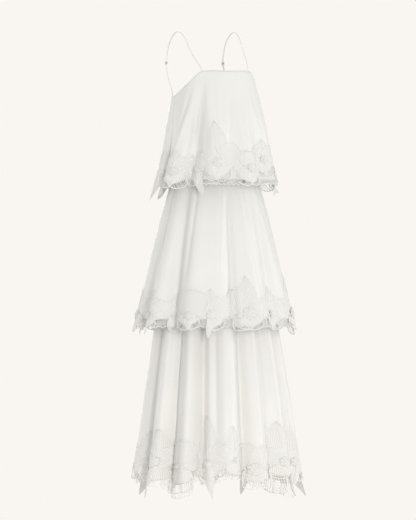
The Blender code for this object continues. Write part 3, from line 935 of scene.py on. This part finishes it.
def add_body(pile, tier, flower, petal, lift):
    """The stitched solid part of a petal, ribbed along its length."""
    rows = max(6, int(petal.length / 0.008))
    ribs = max(2, int(petal.width / RIB_PITCH))
    along = (0.01 + 0.98 * (1 - np.cos(np.linspace(0, pi, rows))) / 2)[:, None]
    side = np.linspace(-1, 1, 4 * ribs + 1)[None, :]
    # Rib crests take the thread colour and the grooves between them the darker ground colour, which
    # is painted shade in the grooves as well as see-through ground.
    stitch_and_shade = np.abs(np.cos(side * pi * ribs)) + 0 * along
    raised = RIB_HEIGHT * stitch_and_shade
    front, outward = petal_points(tier, flower, petal, along, side, lift + raised)
    back = front - outward * (BODY_THICK + raised[..., None])
    add_slab(pile, front, back, stitch_and_shade)


def add_bars(pile, tier, flower, petal, inner, lift):
    """Ladder bars from the solid part of a petal to its rim."""
    ease = np.linspace(0, 1, 200)
    half = half_width_at(petal.kind, ease) * petal.width / 2
    steps = np.hypot(np.diff(half), np.diff(ease) * petal.length)
    reach = np.concatenate([[0], np.cumsum(steps)])
    along = np.interp(np.arange(BAR_PITCH * 2.5, reach[-1], BAR_PITCH), reach, ease)
    share = np.linspace(0, 1, 3 if petal.ladder < 0.3 else 5)[None, :]
    for side in (-1.0, 1.0):
        side_all = np.full(len(along), side)
        first = np.stack(laid(tier, flower, inner, along, side_all), -1)
        last = np.stack(laid(tier, flower, petal, along, side_all), -1)
        places = first[:, None] + (last - first)[:, None] * share[..., None]
        here, outward = cloth_frame(tier, places[..., 0], places[..., 1])
        raised = lift + free_curl(tier, flower, places[..., 1])
        add_cords(pile, here + outward * raised[..., None], outward, BAR, 5)


def add_petal(pile, tier, flower, petal, lift):
    """A petal with its rim, its vein unless it is round, and its ladder if it has one."""
    inner = petal
    if petal.ladder:
        inner = petal._replace(
            length=petal.length * (1 - petal.ladder) - SLIT, width=petal.width - 2 * SLIT
        )
        add_bars(pile, tier, flower, petal, inner, lift + 0.0002)
        add_rim(pile, tier, flower, inner, lift + 0.0004, INNER_RIM)
    add_body(pile, tier, flower, inner, lift)
    add_rim(pile, tier, flower, petal, lift + 0.0004, RIM)
    if petal.kind != "round":
        along = np.linspace(0.04, 0.96, 14)
        points, outward = petal_points(tier, flower, inner, along, 0 * along, lift + 0.0008)
        add_cords(pile, points[None], outward[None], VEIN)


def add_lip(pile, tier, flower, lift):
    """A flower's raised lip: two tiers of ruffled petals round a knot."""
    scale = flower_scale(tier, flower)
    turn = np.linspace(0, 2 * pi, 49)
    for layer, (size, lobes, high) in enumerate(LIP_TIERS):
        share = np.linspace(0.02, 1, 7)[:, None]
        edge = size * flower.lip * (1 + 0.10 * np.cos(lobes * turn + layer))
        x = share * edge * np.sin(turn)
        y = share * edge * np.cos(turn)
        cup = high * np.sin(pi * np.clip(share * 0.62 + 0.12, 0, 1))
        cup = cup + 0.0010 * share**2 * np.sin(9 * turn + layer)
        here, outward = cloth_frame(tier, flower.at + x / scale, flower.z + y)
        raised = (lift + cup)[..., None]
        # The lips take a fixed share of the darker ground colour, partly painted shade.
        add_slab(pile, here + outward * raised, here + outward * (raised - LIP_THICK), LIP_STITCH_AND_SHADE)
    dome = np.linspace(0.02, 1, 6)[:, None]
    knot = KNOT_SHARE * flower.lip
    x = knot * np.sin(pi / 2 * dome) * np.sin(turn[::4])
    y = knot * np.sin(pi / 2 * dome) * np.cos(turn[::4])
    rise = lift + 0.0030 + 0.0028 * np.cos(pi / 2 * dome) + 0 * x
    here, outward = cloth_frame(tier, flower.at + x / scale, flower.z + y)
    pile.add(here + outward * rise[..., None], [grid_quads(*x.shape)], LIP_STITCH_AND_SHADE)


def web_edge(tier, angle):
    """The net's lower edge: small scallops between the petals."""
    return tier.web + SCALLOP_DEPTH * np.cos(np.radians(angle) * SCALLOPS) ** 2


def kept_runs(kept):
    """The start and end of each run of three or more kept points in a row."""
    pads = np.diff(np.concatenate([[0], kept.astype(int), [0]]))
    pairs = zip(np.flatnonzero(pads == 1), np.flatnonzero(pads == -1))
    return [(start, end) for start, end in pairs if end - start >= 3]


def add_net(pile, tier, first, last):
    """Crossed threads that fill the ground between petals, down to the web's edge."""
    scale = metres_per_degree(tier, (first + last) / 2, tier.web) * 0.94
    down = np.arange(int(NET_DROP / NET_STEP) + 1) * NET_STEP
    width = (last - first) * scale
    for way in (-1, 1):
        starts = np.arange(-NET_DROP, width + NET_DROP, NET_PITCH)
        angle = first + (starts[:, None] + way * down * NET_SLANT) / scale
        z = tier.web + NET_DROP - 0.012 - down + 0 * angle
        kept = (angle >= first) & (angle <= last)
        kept &= (z < cut_edge(tier, angle) + 0.002) & (z > web_edge(tier, angle) - 0.002)
        kept &= ~inside_petals(tier, angle, z, 0.001)
        here, outward = cloth_frame(tier, angle, z)
        here = here + outward * (0.0001 + 0.0003 * way)
        for row in range(len(kept)):
            for start, end in kept_runs(kept[row]):
                points = here[row, start:end][None]
                add_cords(pile, points, outward[row, start:end][None], NET_THREAD, 4)


def add_edge_cord(pile, tier, angle, z, kept):
    """A satin-stitched cord along an edge of the cloth or the net, where it is kept."""
    for start, end in kept_runs(kept):
        run = slice(max(start - 1, 0), min(end + 1, len(angle)))
        here, outward = cloth_frame(tier, angle[run], z[run])
        add_cords(pile, (here + outward * 0.0005)[None], outward[None], EDGE_CORD, 5)


def tier_lace(tier, side):
    """One panel's lace: net, petals, flower lips and the cords that edge them."""
    middle = 0 if side == "front" else 180
    pile = Pile()
    add_net(pile, tier, middle - 90, middle + 90)
    angle = np.linspace(middle - 90, middle + 90, 500)
    web = web_edge(tier, angle)
    add_edge_cord(pile, tier, angle, web, ~inside_petals(tier, angle, web, 0.001))
    cut = cut_edge(tier, angle)
    add_edge_cord(pile, tier, angle, cut, ~inside_petals(tier, angle, cut, -0.001))
    for number, flower in enumerate(tier.flowers):
        if abs(turn_from(flower.at, middle)) > 90:
            continue
        lift = 0.0006 + 0.0003 * (number % 2)
        for layer, petal in enumerate(flower.petals):
            add_petal(pile, tier, flower, petal, lift + LAYER * layer)
        add_lip(pile, tier, flower, lift + LAYER * len(flower.petals))
    obj = pile.make(f"{tier.name}_lace_{side}_cutwork", LACE)
    return ride(obj, "lace", f"{tier.name}_lace_{side}")


# ---- straps and sliders


def lap_points(angle):
    """The lower and upper points of a strap's lap inside the upper edge."""
    z = float(upper_edge(np.array(angle)))
    inside = -(WALL / 2 + LAP_GAP + STRAP_THICK / 2)
    return [
        cloth_point(BODICE, angle, z - STRAP_LAP, inside),
        cloth_point(BODICE, angle, z + STRAP_THICK, inside),
    ]


def cloth_heading(angle):
    """The way that the upper edge heads there, in degrees from across the dress."""
    z = float(upper_edge(np.array(angle)))
    step = cloth_point(BODICE, angle + 1, z) - cloth_point(BODICE, angle - 1, z)
    heading = degrees(atan2(step[1], step[0]))
    return (heading + 90) % 180 - 90


def strap_stops():
    """The left strap's points, the ribbon's heading at each, and their distances along."""
    front = lap_points(STRAP_FRONT_ANGLE)
    back = lap_points(STRAP_BACK_ANGLE)[::-1]
    free = [np.array([stop.side, stop.y, stop.z]) for stop in STRAP_ROUTE]
    points = np.array(front + free + back)
    front_turns = [cloth_heading(STRAP_FRONT_ANGLE)] * LAP_STOPS
    back_turns = [cloth_heading(STRAP_BACK_ANGLE)] * LAP_STOPS
    turns = front_turns + [stop.turn for stop in STRAP_ROUTE] + back_turns
    steps = np.linalg.norm(np.diff(points, axis=0), axis=1)
    return points, np.array(turns), np.concatenate([[0], np.cumsum(steps)])


def strap_frames(along):
    """The left strap's centre line, with its ways across and outward, at distances along."""
    points, turns, distances = strap_stops()

    def line(at):
        return np.stack([smooth_between(distances, points[:, k], at) for k in range(3)], -1)

    tangent = unit(line(along + 0.001) - line(along - 0.001))
    turn = np.radians(np.interp(along, distances, turns))
    across = np.stack([np.cos(turn), np.sin(turn), 0 * turn], -1)
    outward = unit(np.cross(across, tangent))
    return line(along), unit(np.cross(tangent, outward)), outward


def strap(name, side, node):
    """A flat satin ribbon with rounded edges, woven through its slider."""
    distances = strap_stops()[2]
    slider_at = distances[SLIDER_STOP]
    pitch = SLIDER_BAR + SLIDER_SLOT
    weave_out = SLIDER_THICK / 2 + SLIDER_PLAY + STRAP_THICK / 2
    flat = SLIDER_BAR * 0.85
    bars = np.array([-2, -1, -1, 0, 0, 1, 1, 2]) * pitch
    steps = bars + np.array([0, -1, 1, -1, 1, -1, 1, 0]) * flat
    depths = np.array([0, -1, -1, 1, 1, -1, -1, 0]) * weave_out
    free = np.arange(0, distances[-1], STRAP_STEP)
    along = np.unique(np.concatenate([free, slider_at + steps, distances[-1:]]))
    centre, across, outward = strap_frames(along)
    centre = centre + outward * np.interp(along - slider_at, steps, depths)[:, None]
    turn = np.linspace(0, 2 * pi, 17)[:-1]
    wide = np.sign(np.cos(turn)) * np.abs(np.cos(turn)) ** 0.5 * STRAP_WIDTH / 2
    thick = np.sign(np.sin(turn)) * np.abs(np.sin(turn)) ** 0.7 * STRAP_THICK / 2
    rows = centre[:, None] + across[:, None] * wide[:, None] + outward[:, None] * thick[:, None]
    rows[..., 0] *= side
    count, sides = rows.shape[:2]
    a = (np.arange(count - 1)[:, None] * sides + np.arange(sides)).reshape(-1)
    b = (np.arange(count - 1)[:, None] * sides + (np.arange(sides) + 1) % sides).reshape(-1)
    quads = np.stack([a, a + sides, b + sides, b], -1)
    first = np.arange(sides)[None]
    last = first[:, ::-1] + (count - 1) * sides
    flip = slice(None, None, -1) if side < 0 else slice(None)
    pile = Pile()
    pile.add(rows, [quads[:, flip], first[:, flip], last[:, flip]])
    return ride(pile.make(name, SATIN), "strap", node)


def slider(name, side, node):
    """A figure-of-eight slider of rounded bars."""
    pitch = SLIDER_BAR + SLIDER_SLOT
    half = (SLIDER_WIDTH - SLIDER_BAR) / 2
    curve = bpy.data.curves.new(name, "CURVE")
    curve.dimensions = "3D"
    curve.bevel_depth = SLIDER_BAR / 2 * 0.92
    curve.bevel_resolution = 3
    curve.use_fill_caps = True
    ring = []
    for x_way, y_way, start in ((1, 1, 0), (-1, 1, 90), (-1, -1, 180), (1, -1, 270)):
        for step in range(4):
            turn = radians(start + step * 30)
            x = x_way * (half - SLIDER_CORNER) + SLIDER_CORNER * cos(turn)
            y = y_way * (pitch - SLIDER_CORNER) + SLIDER_CORNER * sin(turn)
            ring.append((x, y))
    for outline, cyclic in ((ring, True), (((-half, 0), (half, 0)), False)):
        spline = curve.splines.new("POLY")
        spline.points.add(len(outline) - 1)
        for point, (x, y) in zip(spline.points, outline):
            point.co = (x, y, 0, 1)
        spline.use_cyclic_u = cyclic
    curve.materials.append(METAL)
    middle = strap_stops()[2][SLIDER_STOP]
    mirror = np.array([side, 1, 1])
    centre, across, outward = (row * mirror for row in strap_frames(np.array(middle)))
    axes = Matrix(np.stack([across, np.cross(outward, across), outward], -1).tolist())
    obj = bpy.data.objects.new(name, curve)
    obj.matrix_world = Matrix.Translation(centre.tolist()) @ axes.to_4x4()
    scene.collection.objects.link(obj)
    return ride(obj, "slider_metal", node)


def edge_roll():
    """The turned edge round the neckline, armholes and back."""
    angle = np.linspace(-180, 180, 481)
    z = upper_edge(angle)
    here, outward = cloth_frame(OVERLAY, angle, z)
    pile = Pile()
    points = here + outward * (facing_step(OVERLAY, angle, z) - 0.0002)[:, None]
    add_cords(pile, points[None], outward[None], EDGE_ROLL, 8)
    return ride(pile.make("upper_edge_roll", CREPE), "crepe")


# ---- camera, lights, floor

CAMERA_AZIMUTH = -35
CAMERA_FAR = 30
VIEW_HEIGHT = 1.6214
VIEW_CENTRE_Z = -0.711
VIEW_CENTRE_SIDE = 0.006
BACKDROP = (0.947, 0.921, 0.880)
LIGHT_FAR = 4.6
LIGHT_HIGH = 2.2
MIDDLE_Y = -0.05
FLOOR_RADIUS = 1.1
FLOOR_Z = -1.53


def aim(obj, target):
    obj.rotation_euler = (Vector(target) - obj.location).to_track_quat("-Z", "Y").to_euler()


def add_camera():
    turn = radians(CAMERA_AZIMUTH)
    right = Vector((cos(turn), sin(turn), 0))
    target = right * VIEW_CENTRE_SIDE + Vector((0, 0, VIEW_CENTRE_Z))
    data = bpy.data.cameras.new("camera")
    data.sensor_width = 36
    data.lens = 36 * CAMERA_FAR / VIEW_HEIGHT
    data.clip_end = 100
    obj = bpy.data.objects.new("camera", data)
    obj.location = target + Vector((sin(turn), -cos(turn), 0)) * CAMERA_FAR
    aim(obj, target)
    scene.collection.objects.link(obj)
    scene.camera = obj


def add_light(name, azimuth, elevation, wide, power):
    """A soft box aimed at the dress from an azimuth and elevation in degrees."""
    data = bpy.data.lights.new(name, "AREA")
    data.shape = "RECTANGLE"
    data.size = wide
    data.size_y = LIGHT_HIGH
    data.energy = power
    data.color = (1, 0.99, 0.98)
    turn = radians(azimuth)
    rise = radians(elevation)
    target = Vector((0, MIDDLE_Y, VIEW_CENTRE_Z))
    obj = bpy.data.objects.new(name, data)
    way = Vector((sin(turn) * cos(rise), -cos(turn) * cos(rise), sin(rise)))
    obj.location = target + LIGHT_FAR * way
    aim(obj, target)
    scene.collection.objects.link(obj)


def add_world(light):
    """A pale surround. What it sheds on the dress is weaker than how bright it looks."""
    world = bpy.data.worlds.new("studio")
    scene.world = world
    world.use_nodes = True
    tree = world.node_tree
    tree.nodes.clear()
    seen = add_node(tree, "ShaderNodeBackground", Color=(*BACKDROP, 1), Strength=1)
    shed = add_node(tree, "ShaderNodeBackground", Color=(1, 0.985, 0.96, 1), Strength=light)
    path = add_node(tree, "ShaderNodeLightPath")
    mix = add_node(tree, "ShaderNodeMixShader")
    out = add_node(tree, "ShaderNodeOutputWorld")
    link = tree.links.new
    link(path.outputs["Is Camera Ray"], mix.inputs["Fac"])
    link(shed.outputs[0], mix.inputs[1])
    link(seen.outputs[0], mix.inputs[2])
    link(mix.outputs[0], out.inputs["Surface"])


def add_floor():
    made, _tree, shader = new_material("pale_floor")
    set_inputs(shader, Base_Color=(0, 0, 0, 1), Specular_IOR_Level=0)
    set_inputs(shader, Emission_Color=(*BACKDROP, 1), Emission_Strength=1)
    bpy.ops.mesh.primitive_circle_add(vertices=96, radius=FLOOR_RADIUS, fill_type="NGON")
    floor = bpy.context.object
    floor.name = "floor"
    floor.location = (0, MIDDLE_Y, FLOOR_Z)
    floor.data.materials.append(made)


# ---- the whole scene

add_camera()
add_world(light=0.69)
add_floor()
add_light("key", 66, 8, wide=0.6, power=44)
add_light("fill", -22, 2, wide=0.5, power=76)
add_light("left", -155, 4, wide=0.6, power=38)
add_light("back", 158, 8, wide=1.2, power=66)
add_light("top", -35, 78, wide=1.2, power=26)

for side_name, side_sign in (("right", -1), ("left", 1)):
    strap(f"strap_{side_name}_ribbon", side_sign, f"strap_{side_name}")
    slider(f"slider_{side_name}_bars", side_sign, f"slider_{side_name}")
roll = edge_roll()
for panel_side in ("front", "back"):
    panel(BODICE, panel_side, 60, 24)
    trims = {OVERLAY: [roll] if panel_side == "front" else [], MID: [], SKIRT: []}
    for tier, columns, rows in ((OVERLAY, 150, 50), (MID, 160, 46), (SKIRT, 200, 60)):
        cloth = panel(tier, panel_side, columns, rows)
        trims[tier].append(tier_lace(tier, panel_side))

scene.view_settings.view_transform = "Standard"

bpy.context.view_layer.update()
